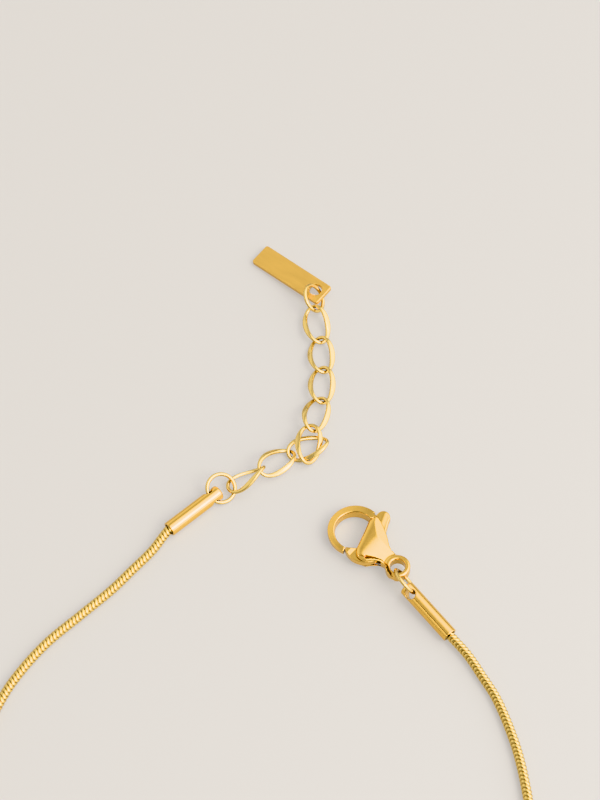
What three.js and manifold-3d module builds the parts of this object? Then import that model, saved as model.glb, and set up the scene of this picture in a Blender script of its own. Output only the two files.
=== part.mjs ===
// Snake chain bracelet, lying open on a table: a round snake chain with a rolled end tube at each end,
// a lobster clasp on one jump ring, and a curb-link extender with a plain bar tag on the other.
// Millimetres, +Z up, the table at Z = 0 and the origin under the middle of the whole bracelet.
import * as THREE from "three";
import { mergeVertices } from "three/addons/utils/BufferGeometryUtils.js";
import Module from "manifold-3d";

const wasm = await Module();
wasm.setup();

// ---------- driving dimensions ----------

const chain = { radius: 0.5, sides: 8, steps: 80 };

const tube = {
  length: 6.85, // mouth to closed tip
  radius: 0.8,
  bore: 0.6,
  boreDepth: 5.0,
  tipRound: 0.25,
  eye: 5.85, // the cross hole, measured from the mouth
  eyeRadius: 0.55,
  seam: 0.08, // gap where the rolled sheet meets itself
};

const ring = { radius: 1.5, wire: 0.2 };

const link = {
  length: 4.8, // over the outside of the wire
  pitch: 3.84, // from one joint to the next, with the chain a little slack
  width: 3.0,
  wire: 0.19, // wire radius at the two ends
  flatWidth: 0.29, // half width of the hammered sides, seen from above
  flatHeight: 0.17,
  twist: 0.34, // how far the wire stands above and below the link's mid plane
};

const tag = { length: 9.5, width: 2.65, thickness: 0.5, bevel: 0.06, holeRadius: 0.7, holeInset: 1.24 };

// The clasp lies along its own X, from the eye to the hook, and is symmetric about Z = 0.
const clasp = {
  halfHeight: 1.0,
  eyeX: -0.2,
  eyeY: 0.15,
  eyeRadius: 1.3,
  eyeHole: 0.75,
  eyeHalfHeight: 0.6,
  hookX: 5.97,
  hookY: -0.24,
  hookRadius: 2.5, // to the middle of the band
  slot: 0.5, // half height of the slot that the lever swings in
  pinX: 2.8,
  pinY: 0.55,
  pinRadius: 0.3,
  pinHalfLength: 0.72,
};

const lever = { halfHeight: 0.36, bore: 0.36, tabX: 4.76, tabY: -3.38, tabRadius: 0.7 };

const degrees = THREE.MathUtils.degToRad;

// ---------- layout on the table ----------

const leftTube = { x: -13.7, y: -16.15, heading: 41, tilt: 0, eyeTurn: 61, seamTurn: 180 };
const rightTube = { x: 15.3, y: -28.25, heading: 130, tilt: 4, eyeTurn: 32, seamTurn: 32 };

// The chain's route over the table, from the left tube's mouth round the wrist to the right tube's mouth.
const chainRoute = [
  { x: -15.4, y: -18.55, z: 0.64 },
  { x: -17.4, y: -20.75, z: 0.54 },
  { x: -19.3, y: -22.85 },
  { x: -22.5, y: -25.85 },
  { x: -25.7, y: -28.85 },
  { x: -28.1, y: -31.85 },
  { x: -29.9, y: -34.9 },
  { x: -32.0, y: -41.0 },
  { x: -32.0, y: -48.5 },
  { x: -29.0, y: -57.5 },
  { x: -22.5, y: -66.0 },
  { x: -13.0, y: -71.5 },
  { x: -2.5, y: -72.5 },
  { x: 8.0, y: -69.5 },
  { x: 16.5, y: -62.5 },
  { x: 21.5, y: -54.0 },
  { x: 22.6, y: -48.6 },
  { x: 22.35, y: -45.3 },
  { x: 21.5, y: -40.3 },
  { x: 19.78, y: -35.1 },
  { x: 18.4, y: -32.6, z: 0.53 },
  { x: 17.0, y: -30.3, z: 0.64 },
];

const leftRing = { x: -8.35, y: -11.35, z: 0.95, heading: 36, tilt: 2, roll: 28 };
const rightRing = { x: 10.84, y: -22.49, z: 1.52, heading: 122.5, tilt: 0.5, roll: 61.5 };
const tagRing = { x: 1.55, y: 12.3, z: 1.32, heading: 83, tilt: -2, roll: 49 };
const claspPlace = { x: 10.05, y: -20.65, z: 1.3, heading: 138.5, tilt: -3, roll: 0 };
const tagPlace = { x: 1.75, y: 13.5, z: 1.0, heading: 140, tilt: -4.5, roll: -4 };

// The extender's links from the left ring to the tag's ring. Each hooks the end of the one before it, at
// half a pitch from both their middles, except the fourth, which has slid round to the third's long side.
const firstJoint = { x: -7.3, y: -11.25 };
const slidJoint = { along: -0.75, across: -1.5 };
const linkRows = [
  { heading: 32, tilt: 9, roll: -36, z: 1.1 },
  { heading: 37, tilt: -10, roll: 5, z: 0.8 },
  { heading: 21, tilt: 2, roll: -3, z: 0.57 },
  { heading: 82, tilt: 4, roll: 15, z: 0.95, from: slidJoint },
  { heading: 74, tilt: -7, roll: 8, z: 0.85 },
  { heading: 87, tilt: 0, roll: 2, z: 0.6 },
  { heading: 94, tilt: 0, roll: -3, z: 0.6 },
  { heading: 101, tilt: 8, roll: -2, z: 0.8 },
];

// ---------- materials ----------

const gold = (roughness) => new THREE.MeshStandardMaterial({ color: 0xe6b65c, metalness: 1, roughness });
const polished = gold(0.18);
const satin = gold(0.35);

// ---------- solids ----------

// A closed mesh from rings of points. An open run is capped at both ends, and a closed one joins its last
// ring to its first.
function loft(rings, closed) {
  const sides = rings[0].length;
  const positions = rings.flat().flatMap((p) => [p.x, p.y, p.z]);
  const index = [];
  const spans = closed ? rings.length : rings.length - 1;
  for (let i = 0; i < spans; i++) {
    const a = i * sides;
    const b = ((i + 1) % rings.length) * sides;
    for (let j = 0; j < sides; j++) {
      const k = (j + 1) % sides;
      index.push(a + j, a + k, b + k, a + j, b + k, b + j);
    }
  }
  if (!closed) {
    const last = (rings.length - 1) * sides;
    for (let j = 1; j < sides - 1; j++) {
      index.push(0, j + 1, j);
      index.push(last, last + j, last + j + 1);
    }
  }
  const geometry = new THREE.BufferGeometry();
  geometry.setAttribute("position", new THREE.Float32BufferAttribute(positions, 3));
  geometry.setIndex(index);
  return geometry;
}

function solidOf(geometry) {
  const bare = geometry.clone();
  bare.deleteAttribute("normal");
  bare.deleteAttribute("uv");
  const merged = mergeVertices(bare, 1e-4);
  return new wasm.Manifold(
    new wasm.Mesh({
      numProp: 3,
      vertProperties: new Float32Array(merged.attributes.position.array),
      triVerts: new Uint32Array(merged.index.array),
    }),
  );
}

function geometryOf(solid) {
  const mesh = solid.getMesh();
  const positions = new Float32Array(mesh.numVert * 3);
  for (let i = 0; i < mesh.numVert; i++) {
    positions.set(mesh.vertProperties.subarray(i * mesh.numProp, i * mesh.numProp + 3), i * 3);
  }
  const geometry = new THREE.BufferGeometry();
  geometry.setAttribute("position", new THREE.BufferAttribute(positions, 3));
  geometry.setIndex(new THREE.BufferAttribute(mesh.triVerts, 1));
  return geometry;
}

// A prism that stands on both sides of Z = 0, with its edges rounded by the bevel.
function slab(shape, halfHeight, bevel = 0, bevelSegments = 1, curveSegments = 8) {
  const options = {
    depth: 2 * (halfHeight - bevel),
    bevelEnabled: bevel > 0,
    bevelThickness: bevel,
    bevelSize: bevel,
    bevelOffset: -bevel,
    bevelSegments,
    curveSegments,
  };
  return new THREE.ExtrudeGeometry(shape, options).translate(0, 0, bevel - halfHeight);
}

function circle(x, y, radius) {
  return new THREE.Shape().absarc(x, y, radius, 0, 2 * Math.PI, false);
}

function roundHole(x, y, radius) {
  return new THREE.Path().absarc(x, y, radius, 0, 2 * Math.PI, true);
}

// The turn of a place: its heading from +X towards +Y, then its far end raised by the tilt and its left side
// by the roll.
function turned(place) {
  return new THREE.Euler(degrees(place.roll), degrees(-place.tilt), degrees(place.heading), "ZYX");
}

function mesh(name, geometry, material, place) {
  const made = new THREE.Mesh(geometry, material);
  made.name = name;
  made.position.set(place.x, place.y, place.z);
  made.rotation.copy(turned(place));
  return made;
}

// ---------- pieces ----------

function snakeChain() {
  const mouth = (end, inside) => {
    const axis = new THREE.Vector3(1, 0, 0).applyEuler(turned({ ...end, roll: 0 }));
    return new THREE.Vector3(end.x, end.y, tube.radius).addScaledVector(axis, inside);
  };
  const route = new THREE.CatmullRomCurve3([
    mouth(leftTube, 1.5),
    mouth(leftTube, 0),
    ...chainRoute.map(({ x, y, z = chain.radius }) => new THREE.Vector3(x, y, z)),
    mouth(rightTube, 0),
    mouth(rightTube, 1.5),
  ]);
  const corner = chain.radius / Math.cos(Math.PI / chain.sides);
  const section = new THREE.Shape();
  for (let i = 0; i < chain.sides; i++) {
    const angle = ((i + 0.5) / chain.sides) * 2 * Math.PI;
    const point = [corner * Math.cos(angle), corner * Math.sin(angle)];
    if (i === 0) section.moveTo(...point);
    else section.lineTo(...point);
  }
  return new THREE.ExtrudeGeometry(section, { steps: chain.steps, extrudePath: route });
}

// The tube lies along X, open at its mouth and closed at its tip. Its eye and its seam are turned from up
// towards +Y.
function endTube({ eyeTurn, seamTurn }) {
  const tipStart = tube.length - tube.tipRound;
  const profile = new THREE.Path();
  profile.moveTo(0, tube.boreDepth);
  profile.lineTo(tube.bore, tube.boreDepth);
  profile.lineTo(tube.bore, 0);
  profile.lineTo(tube.radius, 0);
  profile.lineTo(tube.radius, tipStart);
  profile.absarc(tube.radius - tube.tipRound, tipStart, tube.tipRound, 0, Math.PI / 2, false);
  profile.lineTo(0, tube.length);
  const body = new THREE.LatheGeometry(profile.getPoints(2), 20).rotateZ(-Math.PI / 2);
  const eye = new THREE.CylinderGeometry(tube.eyeRadius, tube.eyeRadius, 4 * tube.radius, 14)
    .rotateX(Math.PI / 2 - degrees(eyeTurn))
    .translate(tube.eye, 0, 0);
  const seam = new THREE.BoxGeometry(tube.boreDepth + 0.6, tube.seam, tube.radius)
    .translate(tube.boreDepth / 2, 0, tube.radius / 2 + 0.2)
    .rotateX(-degrees(seamTurn));
  return geometryOf(solidOf(body).subtract(solidOf(eye)).subtract(solidOf(seam)));
}

function jumpRing() {
  return new THREE.TorusGeometry(ring.radius, ring.wire, 6, 16);
}

// A curb link: an oval of wire whose sides dip at one end and rise at the other, so that its neighbours lie
// flat with it, and whose two sides are hammered wide.
function curbLink() {
  const segments = 16;
  const sides = 6;
  const halfLength = link.length / 2 - link.wire;
  const halfWidth = link.width / 2 - link.flatWidth;
  const rings = [];
  for (let i = 0; i < segments; i++) {
    const t = (i / segments) * 2 * Math.PI;
    const lift = -link.twist * Math.sin(2 * t);
    const rise = -2 * link.twist * Math.cos(2 * t);
    const middle = new THREE.Vector3(halfLength * Math.cos(t), halfWidth * Math.sin(t), lift);
    const along = new THREE.Vector3(-halfLength * Math.sin(t), halfWidth * Math.cos(t), rise).normalize();
    const outward = new THREE.Vector3(0, 0, 1).cross(along).negate().normalize();
    const up = new THREE.Vector3().crossVectors(along, outward);
    const side = Math.sin(t) ** 4;
    const wide = THREE.MathUtils.lerp(link.wire, link.flatWidth, side);
    const high = THREE.MathUtils.lerp(link.wire, link.flatHeight, side);
    rings.push(
      Array.from({ length: sides }, (_, j) => {
        const angle = (j / sides) * 2 * Math.PI;
        return middle
          .clone()
          .addScaledVector(outward, wide * Math.cos(angle))
          .addScaledVector(up, high * Math.sin(angle));
      }),
    );
  }
  return loft(rings, true);
}

function barTag() {
  const plate = new THREE.Shape();
  plate.moveTo(-tag.holeInset, -tag.width / 2);
  plate.lineTo(tag.length - tag.holeInset, -tag.width / 2);
  plate.lineTo(tag.length - tag.holeInset, tag.width / 2);
  plate.lineTo(-tag.holeInset, tag.width / 2);
  plate.closePath();
  plate.holes.push(roundHole(0, 0, tag.holeRadius));
  return slab(plate, tag.thickness / 2, tag.bevel, 1, 8);
}

// The hook: a band that thins from its root on the case, round the far end, to the tip that the gate closes on.
function claspHook() {
  const root = -104;
  const tip = 103;
  const steps = 14;
  const sides = 8;
  const flatness = Math.cos(Math.PI / sides); // brings the flats of the section, not its corners, to the size
  const rings = [];
  for (let i = 0; i <= steps; i++) {
    const share = i / steps;
    const angle = degrees(root + (tip - root) * share);
    const outward = new THREE.Vector3(Math.cos(angle), Math.sin(angle), 0);
    const halfWidth = THREE.MathUtils.lerp(0.47, 0.26, share ** 2);
    const halfHeight = THREE.MathUtils.lerp(0.7, 0.45, share);
    const middle = new THREE.Vector3(clasp.hookX, clasp.hookY, 0).addScaledVector(outward, clasp.hookRadius);
    rings.push(
      Array.from({ length: sides }, (_, j) => {
        const turn = ((j + 0.5) / sides) * 2 * Math.PI;
        const corner = new THREE.Vector3(0, 0, (-halfHeight * Math.sin(turn)) / flatness);
        return corner.addScaledVector(outward, (halfWidth * Math.cos(turn)) / flatness).add(middle);
      }),
    );
  }
  return loft(rings, false);
}

// The case: a rounded triangle from the hook's root to a lobe on the gate's side, narrowing to the neck.
function claspCase() {
  const outline = new THREE.Shape();
  outline.moveTo(0.7, 0.9);
  outline.lineTo(1.55, 1.0);
  outline.quadraticCurveTo(2.0, 1.2, 2.6, 1.9);
  outline.quadraticCurveTo(3.1, 2.2, 3.7, 2.05);
  outline.quadraticCurveTo(4.25, 1.8, 4.4, 1.2);
  outline.quadraticCurveTo(4.8, 0.0, 5.1, -0.9);
  outline.lineTo(5.5, -1.95);
  outline.lineTo(5.3, -2.95);
  outline.quadraticCurveTo(3.6, -2.5, 2.1, -1.2);
  outline.quadraticCurveTo(1.5, -0.8, 0.7, -0.85);
  outline.closePath();
  return slab(outline, clasp.halfHeight, 0.45, 3, 3);
}

// The room that the lever swings in, open on both sides of the case between the hook's root and the neck.
function leverSlot() {
  const outline = new THREE.Shape();
  outline.moveTo(1.42, 3.0);
  outline.lineTo(1.42, -1.8);
  outline.lineTo(2.6, -3.4);
  outline.lineTo(5.85, -4.4);
  outline.lineTo(5.68, -2.75);
  outline.lineTo(4.75, -1.95);
  outline.lineTo(4.3, -0.6);
  outline.lineTo(5.0, -0.25);
  outline.lineTo(5.4, 0.4);
  outline.lineTo(4.9, 3.0);
  outline.closePath();
  return slab(outline, clasp.slot);
}

function pinAt(radius, halfLength, sides) {
  return new THREE.CylinderGeometry(radius, radius, 2 * halfLength, sides)
    .rotateX(Math.PI / 2)
    .translate(clasp.pinX, clasp.pinY, 0);
}

function claspBody() {
  const eyeOutline = circle(clasp.eyeX, clasp.eyeY, clasp.eyeRadius);
  eyeOutline.holes.push(roundHole(clasp.eyeX, clasp.eyeY, clasp.eyeHole));
  const eye = slab(eyeOutline, clasp.eyeHalfHeight, 0.22, 2, 10);
  const hole = slab(circle(clasp.eyeX, clasp.eyeY, clasp.eyeHole), clasp.halfHeight + 0.1, 0, 1, 10);
  const socket = pinAt(clasp.pinRadius + 0.06, clasp.pinHalfLength + 0.06, 12);
  return geometryOf(
    solidOf(claspCase())
      .add(solidOf(claspHook()))
      .subtract(solidOf(leverSlot()))
      .add(solidOf(eye))
      .subtract(solidOf(hole))
      .subtract(solidOf(socket)),
  );
}

// The lever: the thumb tab outside the case, the arm to the pin, and the gate that closes on the hook's tip.
function claspLever() {
  const outline = new THREE.Shape();
  outline.moveTo(3.5, -2.4);
  outline.absarc(lever.tabX, lever.tabY, lever.tabRadius, degrees(206), degrees(375), false);
  outline.lineTo(5.28, -2.75);
  outline.lineTo(4.5, -2.2);
  outline.lineTo(3.95, -0.4);
  outline.quadraticCurveTo(3.9, 1.1, 5.36, 1.88);
  outline.lineTo(5.2, 2.22);
  outline.quadraticCurveTo(4.2, 2.75, 3.2, 2.3);
  outline.quadraticCurveTo(2.3, 1.9, 1.95, 0.9);
  outline.quadraticCurveTo(1.9, -0.5, 3.5, -2.4);
  outline.holes.push(roundHole(clasp.pinX, clasp.pinY, lever.bore));
  return slab(outline, lever.halfHeight, 0.1, 1, 6);
}

// Where each link's middle lies, worked out by walking from joint to joint.
function linkPlaces() {
  const up = new THREE.Vector3(0, 0, 1);
  const joint = new THREE.Vector3(firstJoint.x, firstJoint.y, 0);
  const middle = joint.clone();
  let before = 0;
  return linkRows.map((row) => {
    if (row.from) {
      const hooked = new THREE.Vector3(row.from.along, row.from.across, 0).applyAxisAngle(up, before);
      joint.copy(middle).add(hooked);
    }
    before = degrees(row.heading);
    const half = new THREE.Vector3(link.pitch / 2, 0, 0).applyAxisAngle(up, before);
    middle.copy(joint).add(half);
    joint.copy(middle).add(half);
    return { ...row, x: middle.x, y: middle.y };
  });
}

// ---------- the bracelet ----------

const bracelet = new THREE.Group();
const mouthDown = (place) => ({ ...place, z: tube.radius, roll: 0 });
bracelet.add(
  mesh("snake_chain", snakeChain(), satin, { x: 0, y: 0, z: 0, heading: 0, tilt: 0, roll: 0 }),
  mesh("extender_end_tube", endTube(leftTube), polished, mouthDown(leftTube)),
  mesh("clasp_end_tube", endTube(rightTube), polished, mouthDown(rightTube)),
  mesh("extender_jump_ring", jumpRing(), polished, leftRing),
  mesh("clasp_jump_ring", jumpRing(), polished, rightRing),
  mesh("tag_jump_ring", jumpRing(), polished, tagRing),
  ...linkPlaces().map((place, i) => mesh(`extender_link_${i + 1}`, curbLink(), polished, place)),
  mesh("bar_tag", barTag(), satin, tagPlace),
  mesh("clasp_body", claspBody(), polished, claspPlace),
  mesh("clasp_lever", claspLever(), polished, claspPlace),
  mesh("clasp_pin", pinAt(clasp.pinRadius, clasp.pinHalfLength, 12), satin, claspPlace),
);

const box = new THREE.Box3().setFromObject(bracelet, true);
bracelet.position.set(-(box.min.x + box.max.x) / 2, -(box.min.y + box.max.y) / 2, -box.min.z);

export default bracelet;
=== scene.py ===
"""Snake chain bracelet lying open on a pale table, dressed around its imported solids.

Lengths are in millimetres up to the moment a mesh is made, and each piece's own frame, its place on the
table and the walk along the extender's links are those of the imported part.
"""

import math

import bpy
import numpy as np
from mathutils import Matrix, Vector


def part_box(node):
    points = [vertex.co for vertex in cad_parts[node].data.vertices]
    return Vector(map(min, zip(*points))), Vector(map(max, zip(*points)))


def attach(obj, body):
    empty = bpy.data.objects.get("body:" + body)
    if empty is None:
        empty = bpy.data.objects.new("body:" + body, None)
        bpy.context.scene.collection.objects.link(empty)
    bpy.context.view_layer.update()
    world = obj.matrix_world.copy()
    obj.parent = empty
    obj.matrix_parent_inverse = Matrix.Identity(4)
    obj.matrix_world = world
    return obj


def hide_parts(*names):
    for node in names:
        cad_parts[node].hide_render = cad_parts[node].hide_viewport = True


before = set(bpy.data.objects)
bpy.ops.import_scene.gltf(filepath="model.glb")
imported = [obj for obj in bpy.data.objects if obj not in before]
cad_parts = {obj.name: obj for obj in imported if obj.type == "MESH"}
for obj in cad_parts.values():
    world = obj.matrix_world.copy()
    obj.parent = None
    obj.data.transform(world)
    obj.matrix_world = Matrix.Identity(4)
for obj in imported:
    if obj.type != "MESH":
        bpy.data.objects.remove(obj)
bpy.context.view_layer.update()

MM = 0.001

# ---------- driving dimensions, as in the part ----------

CHAIN_RADIUS = 0.5
CHAIN_INSIDE_TUBE = 1.5
TUBE = dict(length=6.85, radius=0.8, bore=0.6, bore_depth=5.0, tip_round=0.25, eye=5.85, eye_radius=0.55)
RING_RADIUS = 1.5
RING_WIRE = 0.2
LINK = dict(length=4.8, pitch=3.84, width=3.0, wire=0.19, flat_width=0.29, flat_height=0.17, twist=0.34)
TAG = dict(length=9.5, width=2.65, thickness=0.5, hole_radius=0.7, hole_inset=1.24)
CLASP = dict(eye=(-0.2, 0.15), eye_radius=1.3, eye_hole=0.75, eye_half_height=0.6, slot_half_height=0.5)
HOOK = dict(middle=(5.97, -0.24), radius=2.5, root=-104, tip=104.5)
PIN = dict(x=2.8, y=0.55)
LEVER = dict(half_height=0.36, bore=0.36, tab=(4.76, -3.38), tab_radius=0.7)

LEFT_TUBE = dict(x=-13.7, y=-16.15, z=0.8, heading=41, tilt=0, roll=0, eye_turn=61, seam_turn=180)
RIGHT_TUBE = dict(x=15.3, y=-28.25, z=0.8, heading=130, tilt=4, roll=0, eye_turn=32, seam_turn=32)
LEFT_RING = dict(x=-8.35, y=-11.35, z=0.95, heading=36, tilt=2, roll=28)
RIGHT_RING = dict(x=10.84, y=-22.49, z=1.52, heading=122.5, tilt=0.5, roll=61.5)
TAG_RING = dict(x=1.55, y=12.3, z=1.32, heading=83, tilt=-2, roll=49)
CLASP_PLACE = dict(x=10.05, y=-20.65, z=1.3, heading=138.5, tilt=-3, roll=0)
TAG_PLACE = dict(x=1.75, y=13.5, z=1.0, heading=140, tilt=-4.5, roll=-4)

CHAIN_ROUTE = [
    (-15.4, -18.55, 0.64),
    (-17.4, -20.75, 0.54),
    (-19.3, -22.85, 0.5),
    (-22.5, -25.85, 0.5),
    (-25.7, -28.85, 0.5),
    (-28.1, -31.85, 0.5),
    (-29.9, -34.9, 0.5),
    (-32.0, -41.0, 0.5),
    (-32.0, -48.5, 0.5),
    (-29.0, -57.5, 0.5),
    (-22.5, -66.0, 0.5),
    (-13.0, -71.5, 0.5),
    (-2.5, -72.5, 0.5),
    (8.0, -69.5, 0.5),
    (16.5, -62.5, 0.5),
    (21.5, -54.0, 0.5),
    (22.6, -48.6, 0.5),
    (22.35, -45.3, 0.5),
    (21.5, -40.3, 0.5),
    (19.78, -35.1, 0.5),
    (18.4, -32.6, 0.53),
    (17.0, -30.3, 0.64),
]

FIRST_JOINT = (-7.3, -11.25)
SLID_JOINT = (-0.75, -1.5)
LINK_ROWS = [
    dict(heading=32, tilt=9, roll=-36, z=1.1),
    dict(heading=37, tilt=-10, roll=5, z=0.8),
    dict(heading=21, tilt=2, roll=-3, z=0.57),
    dict(heading=82, tilt=4, roll=15, z=0.95, slid=True),
    dict(heading=74, tilt=-7, roll=8, z=0.85),
    dict(heading=87, tilt=0, roll=2, z=0.6),
    dict(heading=94, tilt=0, roll=-3, z=0.6),
    dict(heading=101, tilt=8, roll=-2, z=0.8),
]

# ---------- driving dimensions of the dressing ----------

# The chain's bent plates: their pitch, how far each bows along the chain, and how far in from the outer skin
# a plate lies at each share of its pitch, over its first half.
PLATE_PITCH = 0.43
PLATE_BOW = 0.17
PLATE_EDGE = [(0.0, 0.14), (0.08, 0.08), (0.19, 0.035), (0.34, 0.008)]
# The chain's skin: its sides, the steps from each route point to the next, and how far each way along the
# chain its heading is measured.
CHAIN_SIDES = 26
CURVE_STEPS = 40
HEADING_REACH = 0.3

# How widely the tubes' edges are rounded, and the seam's groove.
TUBE_WEAR = dict(mouth=0.08, bore_end=0.1, bore_lip=0.06, eye=0.12, seam=0.045)
SEAM_HALF_WIDTH = 0.03
SEAM_PAST_BORE = 0.6

# The steps round a ring, a link and their wire, and how far the links' hammered sides lean and how square
# they are.
RING_SEGMENTS = 96
LINK_SEGMENTS = 128
WIRE_SIDES = 20
LINK_LEAN = math.radians(26)
LINK_SQUARENESS = 0.45

# How widely the tag's corners and edges are rounded.
TAG_WEAR = dict(corner=0.28, edge=0.07, hole=0.1)

# The hook's band: half its width and height at the root, what it loses by the tip, and its crest.
BAND = dict(half_width=0.47, narrows=0.21, half_height=0.7, lowers=0.25, wear=0.1, tip_wear=0.03)
CREST = dict(rise=0.06, outer_fall=0.3, inner_rise=0.6, inset=0.15, wear=0.03)

# The case's half height: over its crown, its neck, its flank past the crease and its lip, and the least. A
# slant turns the height over a sloping line or wall into the distance from it.
CROWN = dict(top=1.0, middle=4.0, bow=0.03, edge_fall=0.3, edge_reach=0.2)
NECK = dict(start=3.2, height=0.97, slope=0.24, wear=0.12)
FLANK = dict(crease_x=2.76, offset=0.62, lean=0.78, slant=1.268, height=0.93, slope=0.42, wear=0.04)
LIP_HEIGHT = 0.74
LIP_WALL = 3
LIP_WEAR = 0.05
LEAST_HEIGHT = 0.3

# The groove's V: its floor's half height, which rises over a short way, and how steep its walls are.
CUT = dict(floor=0.26, rise=0.2, from_x=0.6, blend=0.8, wall=2.2, slant=2.4)

# How widely the body's edges and joints are rounded.
EYE_WEAR = 0.2
BODY_WEAR = dict(case=0.14, hook_joint=0.12, eye_joint=0.25, groove=0.02, eye_hole=0.14, slot=0.05)

# The lever's ridge on its tab and the thicker end of its gate.
TAB = dict(rise=0.08, ridge_reach=0.42, inner_y=-1.9, blend=0.8)
GATE = dict(rise=0.05, from_y=1.0, blend_y=0.6, tip_rise=0.07, tip_x=4.45, blend_x=0.4)
LEVER_WEAR = dict(tab_joint=0.2, edge=0.13)

# Cell sizes of the meshed surfaces, the boxes that hold the castings, and the room left round the others.
TUBE_CELL = 0.055
TAG_CELL = 0.06
BODY_CELL = 0.055
BODY_BOX = ((-1.7, -3.5, -1.2), (9.1, 2.9, 1.2))
LEVER_CELL = 0.05
LEVER_BOX = ((1.7, -4.3, -0.7), (5.7, 2.8, 0.7))
ROOM = 0.15


# ---------- places ----------


def turn_matrix(place):
    """Heading about Z, then the +X end raised by the tilt, then the +Y side raised by the roll."""
    h, t, r = (math.radians(place[key]) for key in ("heading", "tilt", "roll"))
    about_z = np.array([[math.cos(h), -math.sin(h), 0], [math.sin(h), math.cos(h), 0], [0, 0, 1]])
    about_y = np.array([[math.cos(t), 0, -math.sin(t)], [0, 1, 0], [math.sin(t), 0, math.cos(t)]])
    about_x = np.array([[1, 0, 0], [0, math.cos(r), -math.sin(r)], [0, math.sin(r), math.cos(r)]])
    return about_z @ about_y @ about_x


def to_table(points, place):
    """From a piece's own frame to its place on the table, in the layout's frame."""
    return points @ turn_matrix(place).T + np.array([place["x"], place["y"], place["z"]])


def table_shift():
    """From the layout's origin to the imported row's, read off the pin, whose box is centred on its middle."""
    low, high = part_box("clasp_pin")
    middle = np.array(low + high) / 2 / MM
    return middle - to_table(np.array([PIN["x"], PIN["y"], 0.0]), CLASP_PLACE)


SHIFT = table_shift()


def in_row(points):
    """From the layout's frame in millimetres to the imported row's in metres."""
    return (points + SHIFT) * MM


# ---------- meshes ----------


def make_mesh(name, points, faces, place=None, normals=None):
    """A smooth mesh of points in the piece's own frame, or in the layout's where no place is given."""
    if place is not None:
        points = to_table(points, place)
        normals = None if normals is None else normals @ turn_matrix(place).T
    mesh = bpy.data.meshes.new(name)
    mesh.from_pydata(in_row(points).tolist(), [], faces)
    mesh.shade_smooth()
    if normals is not None:
        mesh.normals_split_custom_set_from_vertices(normals.tolist())
    made = bpy.data.objects.new(name, mesh)
    bpy.context.scene.collection.objects.link(made)
    return made


def angles(count):
    """So many angles, evenly spaced round a full turn."""
    return np.arange(count) / count * 2 * math.pi


def grid_faces(rings, sides, closed):
    """Quads between rings of points, facing outward; a closed run joins its last ring to its first."""
    faces = []
    for i in range(rings if closed else rings - 1):
        a = i * sides
        b = ((i + 1) % rings) * sides
        for j in range(sides):
            k = (j + 1) % sides
            faces.append((b + j, b + k, a + k, a + j))
    return faces


def from_segment(x, y, start, end):
    """How far the points in the plane stand from the nearest point of a straight segment, along X and Y."""
    (ax, ay), (bx, by) = start, end
    ex, ey = bx - ax, by - ay
    share = np.clip(((x - ax) * ex + (y - ay) * ey) / (ex * ex + ey * ey), 0, 1)
    return x - ax - share * ex, y - ay - share * ey


def line_distance(x, y, line):
    """Distance to an open line of points in the plane."""
    best = np.full(np.shape(x), np.inf)
    for start, end in zip(line[:-1], line[1:]):
        best = np.minimum(best, np.hypot(*from_segment(x, y, start, end)))
    return best


def polygon_distance(x, y, outline):
    """Signed distance to a closed outline in the plane, negative inside."""
    starts = np.asarray(outline, float)
    shape = np.shape(x)
    x, y = np.ravel(x), np.ravel(y)
    best = np.full(x.shape, np.inf)
    inside = np.zeros(x.shape, bool)
    for start, end in zip(starts, np.roll(starts, -1, axis=0)):
        across, up = from_segment(x, y, start, end)
        best = np.minimum(best, across**2 + up**2)
        run, rise = end - start
        if rise != 0:
            crosses = (start[1] > y) != (end[1] > y)
            inside ^= crosses & (x < start[0] + (y - start[1]) * run / rise)
    return (np.sqrt(best) * np.where(inside, -1, 1)).reshape(shape)


def soft_min(a, b, radius):
    """The lower of two forms, rounded where they meet."""
    blend = np.clip(0.5 + 0.5 * (b - a) / radius, 0, 1)
    return b * (1 - blend) + a * blend - radius * blend * (1 - blend)


def soft_max(a, b, radius):
    return -soft_min(-a, -b, radius)


def rounded_box(across, up, radius):
    """Distance to a rounded section from how far a point stands outside its two pairs of flats."""
    p, q = across + radius, up + radius
    return np.minimum(np.maximum(p, q), 0) + np.hypot(np.maximum(p, 0), np.maximum(q, 0)) - radius


# How a meshed surface is drawn on to its form: the number of moves and, in cells, the longest move and the
# reach of the slope's measure, with the least slope that a move trusts.
SURFACE_MOVES = 3
LONGEST_MOVE = 0.5
SLOPE_REACH = 0.2
LEAST_SLOPE = 0.05
TINY = 1e-9

CELL_CORNERS = [(i, j, k) for i in (0, 1) for j in (0, 1) for k in (0, 1)]


def at_corner(grid, corner):
    """The grid's values at one corner of each of its cells."""
    return grid[tuple(slice(c, c + n - 1) for c, n in zip(corner, grid.shape))]


def crossings(value, mixed):
    """Where each mixed cell's edges cross the zero level, as their mean spot from its low corner in cells."""
    total = np.zeros((np.count_nonzero(mixed), 3))
    hits = np.zeros(len(total))
    for corner in CELL_CORNERS:
        for axis in range(3):
            if corner[axis]:
                continue
            other = tuple(c + (axis == n) for n, c in enumerate(corner))
            a, b = at_corner(value, corner)[mixed], at_corner(value, other)[mixed]
            cut = (a < 0) != (b < 0)
            share = a[cut] / (a[cut] - b[cut])
            total[cut] += np.array(corner, float) + np.outer(share, np.eye(3)[axis])
            hits[cut] += 1
    return total / hits[:, None]


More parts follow.
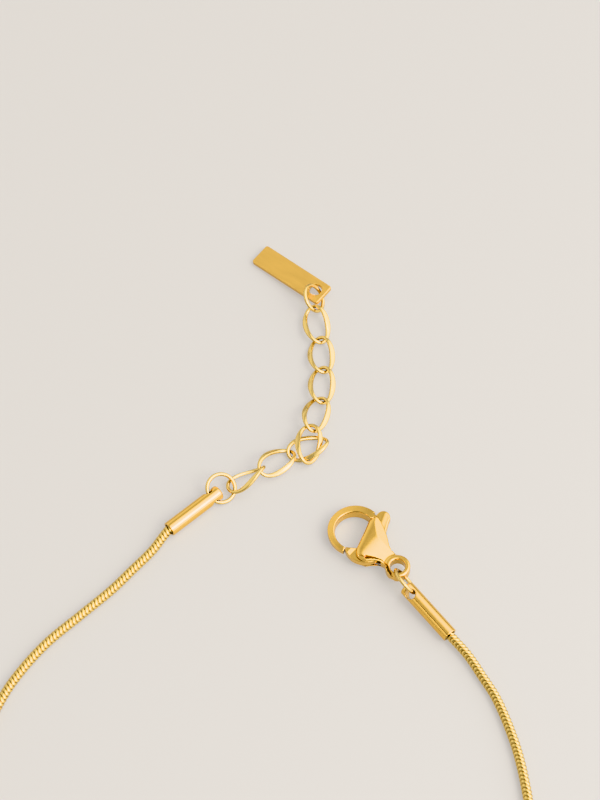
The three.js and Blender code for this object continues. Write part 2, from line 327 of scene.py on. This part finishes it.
def quads_between(inside, number):
    """A quad, facing outward, of the four numbered cells round each grid edge that the surface crosses."""
    faces = []
    for axis in range(3):
        u, v = (axis + 1) % 3, (axis + 2) % 3
        near = [slice(1, n) for n in number.shape]
        near[axis] = slice(0, number.shape[axis])
        far = list(near)
        far[axis] = slice(1, number.shape[axis] + 1)
        here, there = inside[tuple(near)], inside[tuple(far)]
        spots = np.argwhere(here != there)
        leaving = here[tuple(spots.T)]
        spots[:, [u, v]] += 1

        def cell(du, dv):
            moved = spots.copy()
            moved[:, u] -= du
            moved[:, v] -= dv
            return number[tuple(moved.T)]

        quads = np.stack([cell(1, 1), cell(0, 1), cell(0, 0), cell(1, 0)], axis=1)
        quads[~leaving] = quads[~leaving][:, ::-1]
        faces += quads.tolist()
    return faces


def slope_at(form, points, reach):
    """The form's gradient at the points, measured over the reach each way."""
    slopes = []
    for axis in range(3):
        ahead, behind = points.copy(), points.copy()
        ahead[:, axis] += reach
        behind[:, axis] -= reach
        slopes.append((form(*ahead.T) - form(*behind.T)) / (2 * reach))
    return np.stack(slopes, axis=1)


def surface_of(form, low, high, step):
    """Meshes the zero level of a distance-like function: one vertex in each cell that the surface crosses,
    drawn on to the surface along the gradient, with the gradient as its normal."""
    counts = [int(math.ceil((b - a) / step)) + 1 for a, b in zip(low, high)]
    axes = [a + step * np.arange(n) for a, n in zip(low, counts)]
    value = form(*np.meshgrid(*axes, indexing="ij"))
    inside = value < 0
    filled = sum(at_corner(inside, corner).astype(np.int8) for corner in CELL_CORNERS)
    mixed = (filled > 0) & (filled < len(CELL_CORNERS))
    cells = np.argwhere(mixed)
    number = np.full(mixed.shape, -1)
    number[mixed] = np.arange(len(cells))

    points = np.array(low) + step * (cells + crossings(value, mixed))
    reach = SLOPE_REACH * step
    for _ in range(SURFACE_MOVES):
        slope = slope_at(form, points, reach)
        steep = np.maximum((slope**2).sum(1), LEAST_SLOPE)
        move = -(form(*points.T) / steep)[:, None] * slope
        far_off = np.linalg.norm(move, axis=1, keepdims=True)
        points = points + move * np.minimum(1, LONGEST_MOVE * step / np.maximum(far_off, TINY))
    normals = slope_at(form, points, reach)
    normals /= np.maximum(np.linalg.norm(normals, axis=1, keepdims=True), TINY)
    return points, quads_between(inside, number), normals


# ---------- materials ----------


def node(tree, kind, **values):
    """A new node, with its sockets' and settings' values by name."""
    made = tree.nodes.new(kind)
    for key, value in values.items():
        if key in made.inputs.keys():
            made.inputs[key].default_value = value
        else:
            setattr(made, key, value)
    return made


def ramp(made, stops):
    """Sets a colour ramp's stops to greys or colours at their places."""
    stops = [(spot, (tone,) * 3 if np.isscalar(tone) else tone) for spot, tone in stops]
    elements = made.color_ramp.elements
    while len(elements) < len(stops):
        elements.new(1.0)
    for element, (spot, tone) in zip(elements, stops):
        element.position = spot
        element.color = (*tone, 1)


# How far the tone's noise is stretched into a brushed grain, the noise levels that carry the tones, the
# polish's range about its mean, how fine the marks are, what a closed recess keeps of the colour under its
# painted shade, and how often its opening is sampled for that painted shade.
BRUSH_LENGTH = 8.0
TONE_LEVELS = (0.3, 0.7)
POLISH_RANGE = (0.8, 1.25)
MARKS_PER_GRAIN = 3
DARKEST_PAINTED_SHADE = 0.1
OPENING_SAMPLES = 8


def brushed_along(tree, source, heading):
    """The coordinates, stretched along the heading."""
    stretch = node(tree, "ShaderNodeMapping", vector_type="TEXTURE")
    stretch.inputs["Rotation"].default_value = (0, 0, math.radians(heading))
    stretch.inputs["Scale"].default_value = (BRUSH_LENGTH, 1.0, 1.0)
    tree.links.new(source, stretch.inputs["Vector"])
    return stretch.outputs["Vector"]


def painted_recess_shade(tree, color, recess, painted_shade_span):
    """Painted shade: the colour darkened where the surface is closed in within the recess's depth."""
    opening = node(tree, "ShaderNodeAmbientOcclusion", samples=OPENING_SAMPLES, Distance=recess * MM)
    shade = node(tree, "ShaderNodeMapRange")
    shade.inputs["From Min"].default_value = painted_shade_span[0]
    shade.inputs["From Max"].default_value = painted_shade_span[1]
    shade.inputs["To Min"].default_value = DARKEST_PAINTED_SHADE
    tree.links.new(opening.outputs["AO"], shade.inputs["Value"])
    made = node(tree, "ShaderNodeVectorMath", operation="SCALE")
    tree.links.new(color, made.inputs[0])
    tree.links.new(shade.outputs["Result"], made.inputs["Scale"])
    return made.outputs["Vector"]


def gold(name, color, roughness, grain, grain_size, bump, recess, painted_shade_span=(0.12, 0.7), brushed=None):
    """Plated gold: its tone and polish wander a little over the surface, with fine marks in the bump, and its
    colour carries painted shade in recesses about as deep as the given depth, fading in from where they are
    as open as the second of the two shares to where they are as open as the first. A brushed one has its grain
    along the given heading."""
    material = bpy.data.materials.new(name)
    material.use_nodes = True
    tree = material.node_tree
    tree.nodes.clear()
    link = tree.links.new
    out = node(tree, "ShaderNodeOutputMaterial")
    shader = node(tree, "ShaderNodeBsdfPrincipled")
    shader.inputs["Metallic"].default_value = 1.0
    link(shader.outputs["BSDF"], out.inputs["Surface"])
    where = node(tree, "ShaderNodeTexCoord")
    source = where.outputs["Object"]
    if brushed is not None:
        source = brushed_along(tree, source, brushed)
    wander = node(tree, "ShaderNodeTexNoise", Scale=1 / (grain_size * MM), Detail=4.0, Roughness=0.6)
    link(source, wander.inputs["Vector"])
    tone = node(tree, "ShaderNodeValToRGB")
    ramp(tone, [(TONE_LEVELS[0], [c * (1 - grain) for c in color]), (TONE_LEVELS[1], color)])
    link(wander.outputs["Fac"], tone.inputs["Fac"])
    # The base colour is darkened in recesses: painted shade.
    link(painted_recess_shade(tree, tone.outputs["Color"], recess, painted_shade_span), shader.inputs["Base Color"])
    polish = node(tree, "ShaderNodeMapRange")
    polish.inputs["To Min"].default_value = roughness * POLISH_RANGE[0]
    polish.inputs["To Max"].default_value = roughness * POLISH_RANGE[1]
    link(wander.outputs["Fac"], polish.inputs["Value"])
    link(polish.outputs["Result"], shader.inputs["Roughness"])
    marks = node(tree, "ShaderNodeTexNoise", Scale=MARKS_PER_GRAIN / (grain_size * MM), Detail=3.0)
    link(source, marks.inputs["Vector"])
    relief = node(tree, "ShaderNodeBump", Strength=1.0, Distance=bump * MM)
    link(marks.outputs["Fac"], relief.inputs["Height"])
    link(relief.outputs["Normal"], shader.inputs["Normal"])
    return material


PLATE_COLOR = (0.86, 0.61, 0.2)
WIRE_COLOR = (0.83, 0.59, 0.21)
SATIN_COLOR = (0.82, 0.51, 0.14)
CAST_COLOR = (0.92, 0.57, 0.15)

# Each gold's polish, and in millimetres its grain's size, its marks' depth and the depth of the recesses that
# get painted shade.
SNAKE_GOLD = gold(
    "snake_gold", PLATE_COLOR, 0.18, grain=0.1, grain_size=0.25, bump=0.002, recess=0.4, painted_shade_span=(0.4, 0.85)
)
TUBE_GOLD = gold("tube_gold", CAST_COLOR, 0.13, grain=0.1, grain_size=0.5, bump=0.003, recess=0.6)
WIRE_GOLD = gold("wire_gold", WIRE_COLOR, 0.15, grain=0.1, grain_size=0.3, bump=0.008, recess=0.6)
SATIN_GOLD = gold(
    "satin_gold",
    SATIN_COLOR,
    0.34,
    grain=0.04,
    grain_size=0.3,
    bump=0.002,
    recess=0.3,
    brushed=TAG_PLACE["heading"],
)
CAST_GOLD = gold("cast_gold", CAST_COLOR, 0.12, grain=0.1, grain_size=0.6, bump=0.004, recess=1.2)


def finish_piece(piece, material, slot, body, *nodes):
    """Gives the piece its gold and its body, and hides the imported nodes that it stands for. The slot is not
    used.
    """
    piece.data.materials.append(material)
    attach(piece, body)
    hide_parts(*nodes)


# ---------- the snake chain ----------


def chain_curve(points, per_span):
    """Centripetal Catmull-Rom curve through the points, as the part's tube follows."""
    points = np.asarray(points, float)
    padded = np.vstack([2 * points[0] - points[1], points, 2 * points[-1] - points[-2]])
    curve = []
    for i in range(len(points) - 1):
        p0, p1, p2, p3 = padded[i : i + 4]
        d0, d1, d2 = (math.sqrt(np.linalg.norm(b - a)) for a, b in ((p0, p1), (p1, p2), (p2, p3)))
        leave = ((p1 - p0) / d0 - (p2 - p0) / (d0 + d1) + (p2 - p1) / d1) * d1
        arrive = ((p2 - p1) / d1 - (p3 - p1) / (d1 + d2) + (p3 - p2) / d2) * d1
        t = np.arange(per_span)[:, None] / per_span
        curve.append(
            (2 * t**3 - 3 * t**2 + 1) * p1
            + (t**3 - 2 * t**2 + t) * leave
            + (3 * t**2 - 2 * t**3) * p2
            + (t**3 - t**2) * arrive
        )
    return np.vstack(curve + [points[-1:]])


def tube_point(tube, inside):
    """The point on the tube's axis that lies so far in from its open end."""
    axis = turn_matrix(tube)[:, 0]
    return np.array([tube["x"], tube["y"], tube["z"]]) + inside * axis


def plate_rings(length):
    """Where the skin's rings lie along a chain of this length, and how far in each is pinched."""
    profile = PLATE_EDGE + [(0.5, 0.0)] + [(1 - share, depth) for share, depth in PLATE_EDGE[:0:-1]]
    plates = int(length / PLATE_PITCH)
    margin = 2 * PLATE_BOW
    rings = []
    depths = []
    for i in range(plates):
        for share, depth in profile:
            rings.append(margin + (i + share) * (length - 2 * margin) / plates)
            depths.append(depth)
    return np.array(rings), np.array(depths)


def snake_chain():
    """The chain's plates as one skin swept along its curve, pinched between each plate and the next."""
    start = [tube_point(LEFT_TUBE, CHAIN_INSIDE_TUBE), tube_point(LEFT_TUBE, 0)]
    finish = [tube_point(RIGHT_TUBE, 0), tube_point(RIGHT_TUBE, CHAIN_INSIDE_TUBE)]
    curve = chain_curve(start + [np.array(p) for p in CHAIN_ROUTE] + finish, CURVE_STEPS)
    run = np.concatenate([[0], np.cumsum(np.linalg.norm(np.diff(curve, axis=0), axis=1))])
    rings, depths = plate_rings(run[-1])
    around = angles(CHAIN_SIDES)
    place = rings[:, None] + PLATE_BOW * np.sin(2 * around)[None, :]

    def curve_at(distance):
        return np.stack([np.interp(distance, run, curve[:, n]) for n in range(3)], axis=2)

    along = curve_at(place + HEADING_REACH) - curve_at(place - HEADING_REACH)
    along /= np.linalg.norm(along, axis=2, keepdims=True)
    level = np.cross(np.array([0, 0, 1.0]), along)
    level /= np.linalg.norm(level, axis=2, keepdims=True)
    up = np.cross(along, level)
    radius = CHAIN_RADIUS - depths[:, None, None]
    out = radius * (level * np.cos(around)[None, :, None] + up * np.sin(around)[None, :, None])
    points = (curve_at(place) + out).reshape(-1, 3)
    faces = grid_faces(len(rings), CHAIN_SIDES, False)
    faces.append(tuple(range(CHAIN_SIDES)))
    faces.append(tuple(reversed(range(len(points) - CHAIN_SIDES, len(points)))))
    piece = make_mesh("snake_chain_plates", points, faces)
    finish_piece(piece, SNAKE_GOLD, "snake_gold", "root", "snake_chain")


# ---------- end tubes, rings and links ----------


def end_tube(name, tube, cad_name):
    """A tube along X with a rounded closed tip, a rolled seam and one cross hole with worn edges."""
    eye = math.radians(tube["eye_turn"])
    seam = math.radians(tube["seam_turn"])

    def form(x, y, z):
        r = np.hypot(y, z)
        tip = rounded_box(r - TUBE["radius"], x - TUBE["length"], TUBE["tip_round"])
        wall = soft_max(tip, -x, TUBE_WEAR["mouth"])
        bore = soft_max(r - TUBE["bore"], x - TUBE["bore_depth"], TUBE_WEAR["bore_end"])
        wall = soft_max(wall, -bore, TUBE_WEAR["bore_lip"])
        off_eye = np.hypot(x - TUBE["eye"], y * math.cos(eye) - z * math.sin(eye)) - TUBE["eye_radius"]
        wall = soft_max(wall, -off_eye, TUBE_WEAR["eye"])
        beside = y * math.cos(seam) - z * math.sin(seam)
        above = z * math.cos(seam) + y * math.sin(seam)
        past_end = x - TUBE["bore_depth"] - SEAM_PAST_BORE
        groove = np.maximum(np.abs(beside) - SEAM_HALF_WIDTH, np.maximum(past_end, -above))
        return soft_max(wall, -groove, TUBE_WEAR["seam"])

    reach = TUBE["radius"] + ROOM
    low, high = (-ROOM, -reach, -reach), (TUBE["length"] + ROOM, reach, reach)
    points, faces, normals = surface_of(form, low, high, TUBE_CELL)
    piece = make_mesh(name, points, faces, tube, normals)
    finish_piece(piece, TUBE_GOLD, "tube_gold", "root", cad_name)


def jump_ring(name, place, cad_name):
    """A round ring of round wire."""
    turn, around = angles(RING_SEGMENTS), angles(WIRE_SIDES)
    out = RING_RADIUS + RING_WIRE * np.cos(around)
    points = np.stack(
        [
            np.outer(np.cos(turn), out),
            np.outer(np.sin(turn), out),
            np.outer(np.ones(RING_SEGMENTS), RING_WIRE * np.sin(around)),
        ],
        axis=2,
    ).reshape(-1, 3)
    piece = make_mesh(name, points, grid_faces(RING_SEGMENTS, WIRE_SIDES, True), place)
    finish_piece(piece, WIRE_GOLD, "wire_gold", "root", cad_name)


def curb_link(name, place, cad_name):
    """A twisted oval of wire whose two long sides are hammered wide and flat."""
    half_length = LINK["length"] / 2 - LINK["wire"]
    half_width = LINK["width"] / 2 - LINK["flat_width"]
    t, around = angles(LINK_SEGMENTS), angles(WIRE_SIDES)
    twist = LINK["twist"]
    middle = np.stack([half_length * np.cos(t), half_width * np.sin(t), -twist * np.sin(2 * t)], 1)
    along = np.stack([-half_length * np.sin(t), half_width * np.cos(t), -2 * twist * np.cos(2 * t)], 1)
    along /= np.linalg.norm(along, axis=1, keepdims=True)
    outward = np.cross(along, np.array([0, 0, 1.0]))
    outward /= np.linalg.norm(outward, axis=1, keepdims=True)
    up = np.cross(outward, along)
    # 1 in the middle of each long side and 0 at the two ends.
    side = np.sin(t) ** 4
    wide = LINK["wire"] + (LINK["flat_width"] - LINK["wire"]) * side
    high = LINK["wire"] + (LINK["flat_height"] - LINK["wire"]) * side
    square = 1 - LINK_SQUARENESS * side

    def rounded(wave):
        return np.sign(wave)[None, :] * np.abs(wave)[None, :] ** square[:, None]

    lean = LINK_LEAN * side[:, None]
    outward, up = np.cos(lean) * outward - np.sin(lean) * up, np.cos(lean) * up + np.sin(lean) * outward
    across = wide[:, None] * rounded(np.cos(around))
    over = high[:, None] * rounded(np.sin(around))
    points = middle[:, None, :] + across[:, :, None] * outward[:, None, :] + over[:, :, None] * up[:, None, :]
    faces = grid_faces(LINK_SEGMENTS, WIRE_SIDES, True)
    piece = make_mesh(name, points.reshape(-1, 3), faces, place)
    finish_piece(piece, WIRE_GOLD, "wire_gold", "root", cad_name)


def link_places():
    """Walks from joint to joint, half a pitch each way from a link's middle."""
    joint = np.array(FIRST_JOINT)
    middle = joint
    before = 0.0
    places = []
    for row in LINK_ROWS:
        if row.get("slid"):
            turn = np.array([[math.cos(before), -math.sin(before)], [math.sin(before), math.cos(before)]])
            joint = middle + turn @ np.array(SLID_JOINT)
        before = math.radians(row["heading"])
        half = LINK["pitch"] / 2 * np.array([math.cos(before), math.sin(before)])
        middle = joint + half
        joint = middle + half
        places.append(dict(row, x=middle[0], y=middle[1]))
    return places


# ---------- the tag ----------


def bar_tag():
    """The tag about its hole's middle: a plate with worn corners and edges and a worn hole."""
    middle = TAG["length"] / 2 - TAG["hole_inset"]
    half_length, half_width, half_height = (TAG[key] / 2 for key in ("length", "width", "thickness"))

    def form(x, y, z):
        plate = rounded_box(np.abs(x - middle) - half_length, np.abs(y) - half_width, TAG_WEAR["corner"])
        slab = rounded_box(plate, np.abs(z) - half_height, TAG_WEAR["edge"])
        return soft_max(slab, TAG["hole_radius"] - np.hypot(x, y), TAG_WEAR["hole"])

    low = (-TAG["hole_inset"] - ROOM, -half_width - ROOM, -half_height - ROOM)
    high = (TAG["length"] - TAG["hole_inset"] + ROOM, half_width + ROOM, half_height + ROOM)
    points, faces, normals = surface_of(form, low, high, TAG_CELL)
    piece = make_mesh("bar_tag_plate", points, faces, TAG_PLACE, normals)
    finish_piece(piece, SATIN_GOLD, "satin_gold", "root", "bar_tag")


# ---------- the clasp ----------


BEND_STEPS = 8


def outline_of(start, *spans):
    """Points of a closed outline of straight spans (an end) and bends (a control point and an end)."""
    points = [np.array(start, float)]
    for span in spans:
        if len(span) == 2 and np.ndim(span[0]) == 0:
            points.append(np.array(span, float))
            continue
        begin, pull, end = points[-1], np.array(span[0], float), np.array(span[1], float)
        for t in np.linspace(0, 1, BEND_STEPS + 1)[1:]:
            points.append((1 - t) ** 2 * begin + 2 * t * (1 - t) * pull + t * t * end)
    closes = np.allclose(points[0], points[-1])
    return np.array(points[:-1] if closes else points)


CASE_OUTLINE = outline_of(
    (0.7, 0.9),
    (1.55, 1.0),
    ((2.0, 1.2), (2.6, 1.9)),
    ((3.1, 2.2), (3.7, 2.05)),
    ((4.25, 1.8), (4.4, 1.2)),
    ((4.8, 0.0), (5.1, -0.9)),
    (5.5, -1.95),
    (5.3, -2.95),
    ((3.6, -2.5), (2.1, -1.2)),
    ((1.5, -0.8), (0.7, -0.85)),
)
SLOT_OUTLINE = [
    (1.42, 3.0),
    (1.42, -1.8),
    (2.6, -3.4),
    (5.85, -4.4),
    (5.68, -2.75),
    (4.75, -1.95),
    (4.3, -0.6),
    (5.0, -0.25),
    (5.4, 0.4),
    (4.9, 3.0),
]
# The groove inside the front plate's lower lip, and the lip's own region.
GROOVE = [
    (2.9, 1.6),
    (2.18, 1.07),
    (1.58, 0.72),
    (1.08, 0.73),
    (0.65, 0.86),
    (0.22, 1.16),
    (-0.32, 1.36),
    (-0.9, 1.4),
]
LIP = GROOVE[::-1] + [(3.6, 1.9), (3.6, 3.0), (0.5, 3.0), (-0.9, 2.4)]


def hook_form(x, y, z):
    """The hook's band, thinning from its root to its tip, with its crest near the inner edge."""
    dx, dy = x - HOOK["middle"][0], y - HOOK["middle"][1]
    angle = np.degrees(np.arctan2(dy, dx))
    share = np.clip((angle - HOOK["root"]) / (HOOK["tip"] - HOOK["root"]), 0, 1)
    half_width = BAND["half_width"] - BAND["narrows"] * share**2
    half_height = BAND["half_height"] - BAND["lowers"] * share
    out = np.hypot(dx, dy) - HOOK["radius"]
    top = half_height + CREST["rise"]
    from_inside = out + half_width
    outer = top - CREST["outer_fall"] * from_inside
    inner = top + CREST["inner_rise"] * (from_inside - CREST["inset"])
    crest = soft_min(outer, inner, CREST["wear"])
    band = rounded_box(np.abs(out) - half_width, np.abs(z) - crest, BAND["wear"])
    past = np.radians(np.maximum(angle - HOOK["tip"], HOOK["root"] - angle)) * HOOK["radius"]
    return soft_max(band, past, BAND["tip_wear"])


def eye_form(x, y, z):
    """The eye: a flat ring with round edges."""
    r = np.hypot(x - CLASP["eye"][0], y - CLASP["eye"][1])
    half = (CLASP["eye_radius"] - CLASP["eye_hole"]) / 2
    across = np.abs(r - CLASP["eye_hole"] - half) - half
    return rounded_box(across, np.abs(z) - CLASP["eye_half_height"], EYE_WEAR)


def plate_height(x, y, edge):
    """Half height of the case: a crowned plate that falls to the eye, to the flank past its crease and to a
    lip along its lower edge."""
    fall_at_edge = CROWN["edge_fall"] * np.exp(-np.maximum(-edge, 0) / CROWN["edge_reach"])
    crown = CROWN["top"] - CROWN["bow"] * (x - CROWN["middle"]) ** 2 - fall_at_edge
    neck = NECK["height"] + NECK["slope"] * (x - NECK["start"])
    past_crease = (y + FLANK["lean"] * (x - FLANK["crease_x"]) + FLANK["offset"]) / FLANK["slant"]
    flank = FLANK["height"] + FLANK["slope"] * past_crease
    height = soft_min(soft_min(crown, neck, NECK["wear"]), flank, FLANK["wear"])
    lip = LIP_HEIGHT + LIP_WALL * np.maximum(polygon_distance(x, y, LIP), 0)
    return np.maximum(soft_min(height, lip, LIP_WEAR), LEAST_HEIGHT)


def clasp_body_form(x, y, z):
    """The casting, the same on both faces: case, hook and eye, less the groove, the eye's hole and the
    lever's slot."""
    edge = polygon_distance(x, y, CASE_OUTLINE)
    case = soft_max(edge, np.abs(z) - plate_height(x, y, edge), BODY_WEAR["case"])
    body = soft_min(case, hook_form(x, y, z), BODY_WEAR["hook_joint"])
    body = soft_min(body, eye_form(x, y, z), BODY_WEAR["eye_joint"])
    floor = CUT["floor"] + CUT["rise"] * np.clip((x - CUT["from_x"]) / CUT["blend"], 0, 1)
    above_cut = np.abs(z) - floor - CUT["wall"] * line_distance(x, y, GROOVE)
    body = soft_max(body, above_cut / CUT["slant"], BODY_WEAR["groove"])
    hole = CLASP["eye_hole"] - np.hypot(x - CLASP["eye"][0], y - CLASP["eye"][1])
    body = soft_max(body, hole, BODY_WEAR["eye_hole"])
    slot = np.maximum(polygon_distance(x, y, SLOT_OUTLINE), np.abs(z) - CLASP["slot_half_height"])
    return soft_max(body, -slot, BODY_WEAR["slot"])


def clasp_body():
    points, faces, normals = surface_of(clasp_body_form, *BODY_BOX, BODY_CELL)
    piece = make_mesh("clasp_body_casting", points, faces, CLASP_PLACE, normals)
    finish_piece(piece, CAST_GOLD, "cast_gold", "root", "clasp_body")


LEVER_OUTLINE = outline_of(
    (3.5, -2.4),
    (4.13, -3.69),
    (5.4, -3.1),
    (5.28, -2.75),
    (4.5, -2.2),
    (3.95, -0.4),
    ((3.9, 1.1), (5.36, 1.88)),
    (5.2, 2.22),
    ((4.2, 2.75), (3.2, 2.3)),
    ((2.3, 1.9), (1.95, 0.9)),
    ((1.9, -0.5), (3.5, -2.4)),
)
TAB_RIDGE = [(4.9, -3.75), (4.3, -2.3)]


def clasp_lever_form(x, y, z):
    """The lever's flat bar with a ridged tab, a thicker gate and the pin's bore."""
    arm = polygon_distance(x, y, LEVER_OUTLINE)
    tab = np.hypot(x - LEVER["tab"][0], y - LEVER["tab"][1]) - LEVER["tab_radius"]
    plan = soft_min(arm, tab, LEVER_WEAR["tab_joint"])
    on_tab = np.clip((TAB["inner_y"] - y) / TAB["blend"], 0, 1)
    ridge = TAB["rise"] * np.exp(-((line_distance(x, y, TAB_RIDGE) / TAB["ridge_reach"]) ** 2)) * on_tab
    on_gate = np.clip((y - GATE["from_y"]) / GATE["blend_y"], 0, 1)
    at_tip = np.clip((x - GATE["tip_x"]) / GATE["blend_x"], 0, 1) * (y > 0)
    crown = GATE["rise"] * on_gate + GATE["tip_rise"] * at_tip
    bar = rounded_box(plan, np.abs(z) - LEVER["half_height"] - ridge - crown, LEVER_WEAR["edge"])
    bore = LEVER["bore"] - np.hypot(x - PIN["x"], y - PIN["y"])
    return np.maximum(bar, bore)


def clasp_lever():
    points, faces, normals = surface_of(clasp_lever_form, *LEVER_BOX, LEVER_CELL)
    piece = make_mesh("clasp_lever_casting", points, faces, CLASP_PLACE, normals)
    finish_piece(piece, CAST_GOLD, "cast_gold", "lever", "clasp_lever")


# ---------- the bracelet ----------

snake_chain()
end_tube("extender_end_tube_rolled", LEFT_TUBE, "extender_end_tube")
end_tube("clasp_end_tube_rolled", RIGHT_TUBE, "clasp_end_tube")
jump_ring("extender_jump_ring_wire", LEFT_RING, "extender_jump_ring")
jump_ring("clasp_jump_ring_wire", RIGHT_RING, "clasp_jump_ring")
jump_ring("tag_jump_ring_wire", TAG_RING, "tag_jump_ring")
for count, row in enumerate(link_places(), start=1):
    curb_link(f"extender_link_{count}_wire", row, f"extender_link_{count}")
bar_tag()
clasp_body()
clasp_lever()
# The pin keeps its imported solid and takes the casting's gold.
pin_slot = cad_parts["clasp_pin"].material_slots[0]
pin_slot.link = "OBJECT"
pin_slot.material = CAST_GOLD


# ---------- table, lights and camera ----------


TABLE_HALF_SIZE = 600
# The table shines a little by itself, so that the shadows on it stay as faint as in soft light.
TABLE_PAINT = {
    "Roughness": 0.6,
    "Base Color": (0.1, 0.095, 0.089, 1),
    "Emission Color": (0.79, 0.742, 0.69, 1),
    "Emission Strength": 0.6,
}

# Where the window stands, and the sky's brightness from the far side of the room round to the window.
WINDOW_WAY = (0.74, -0.16, 0.65)
WINDOW_GLOW = [(0.0, 0.26), (0.45, 0.21), (0.66, 0.122), (0.77, 0.16), (0.85, 0.72), (0.91, 1.0)]
# The sky's brightness from the horizon up, and how it dims towards the room's shaded side.
HORIZON_GLOW = [(0.0, 0.3), (0.06, 0.35), (0.16, 0.85), (0.3, 1.0)]
SHADED_WAY = (-0.25, -0.9, 0.35)
SHADED_GLOW = [(0.5, 1.0), (0.8, 0.7), (1.0, 0.5)]
SKY_STRENGTH = 5.2
WINDOW_LIGHT = dict(spot=(310, -190, 370), target=(0, -20, 0), side=210, power=2.2, color=(1.0, 0.98, 0.95))

CAMERA_ELEVATION = math.radians(59.8)
CAMERA_DISTANCE = 241.5
CAMERA_LENS = 100
CAMERA_SENSOR = 36
CAMERA_NEAREST = 10


def table():
    """The plain pale plane that the bracelet lies on."""
    size = TABLE_HALF_SIZE
    points = np.array([(-size, -size, 0), (size, -size, 0), (size, size, 0), (-size, size, 0)], float)
    floor = make_mesh("table", points - SHIFT, [(0, 1, 2, 3)])
    material = bpy.data.materials.new("table_paint")
    material.use_nodes = True
    tree = material.node_tree
    shader = tree.nodes["Principled BSDF"]
    for key, value in TABLE_PAINT.items():
        shader.inputs[key].default_value = value
    floor.data.materials.append(material)


def window_light(spot, target, side, power, color):
    """A square area light at the spot, facing the target."""
    data = bpy.data.lights.new("window", "AREA")
    data.shape = "RECTANGLE"
    data.size = side * MM
    data.size_y = side * MM
    data.energy = power
    data.color = color
    made = bpy.data.objects.new("window", data)
    bpy.context.scene.collection.objects.link(made)
    made.location = in_row(np.array(spot, float))
    aim = in_row(np.array(target, float)) - np.array(made.location)
    made.rotation_euler = Vector(aim).to_track_quat("-Z", "Y").to_euler()


def facing(tree, source, way):
    """How squarely the direction faces the given way, from -1 to 1."""
    made = node(tree, "ShaderNodeVectorMath", operation="DOT_PRODUCT")
    made.inputs[1].default_value = way
    tree.links.new(source, made.inputs[0])
    return made.outputs["Value"]


def glow(tree, level, stops):
    """The ramp's colour at the level."""
    made = node(tree, "ShaderNodeValToRGB")
    ramp(made, stops)
    tree.links.new(level, made.inputs["Fac"])
    return made.outputs["Color"]


def product(tree, first, second):
    """Two colours multiplied, through the mix node's colour sockets."""
    made = node(tree, "ShaderNodeMix", data_type="RGBA", blend_type="MULTIPLY")
    made.inputs["Factor"].default_value = 1.0
    color_a, color_b, color_out = made.inputs[6], made.inputs[7], made.outputs[2]
    tree.links.new(first, color_a)
    tree.links.new(second, color_b)
    return color_out


def studio():
    """A bright soft sky that falls off towards the horizon and away from the window on the right."""
    world = bpy.data.worlds.new("studio")
    bpy.context.scene.world = world
    world.use_nodes = True
    tree = world.node_tree
    link = tree.links.new
    way = node(tree, "ShaderNodeTexCoord").outputs["Generated"]
    level = node(tree, "ShaderNodeMapRange")
    level.inputs["From Min"].default_value = -1.0
    link(facing(tree, way, WINDOW_WAY), level.inputs["Value"])
    window = glow(tree, level.outputs["Result"], WINDOW_GLOW)
    parts = node(tree, "ShaderNodeSeparateXYZ")
    link(way, parts.inputs["Vector"])
    horizon = glow(tree, parts.outputs["Z"], HORIZON_GLOW)
    shaded = glow(tree, facing(tree, way, SHADED_WAY), SHADED_GLOW)
    background = tree.nodes["Background"]
    link(product(tree, product(tree, window, horizon), shaded), background.inputs["Color"])
    background.inputs["Strength"].default_value = SKY_STRENGTH
    window_light(**WINDOW_LIGHT)
    bpy.context.scene.view_settings.view_transform = "Khronos PBR Neutral"


def camera():
    """The camera looks down on to the layout's origin."""
    data = bpy.data.cameras.new("camera")
    data.lens = CAMERA_LENS
    data.sensor_width = CAMERA_SENSOR
    data.clip_start = CAMERA_NEAREST * MM
    made = bpy.data.objects.new("camera", data)
    bpy.context.scene.collection.objects.link(made)
    back, up = math.cos(CAMERA_ELEVATION), math.sin(CAMERA_ELEVATION)
    made.location = in_row(CAMERA_DISTANCE * np.array([0, -back, up]))
    made.rotation_euler = (math.pi / 2 - CAMERA_ELEVATION, 0, 0)
    bpy.context.scene.camera = made


table()
studio()
camera()
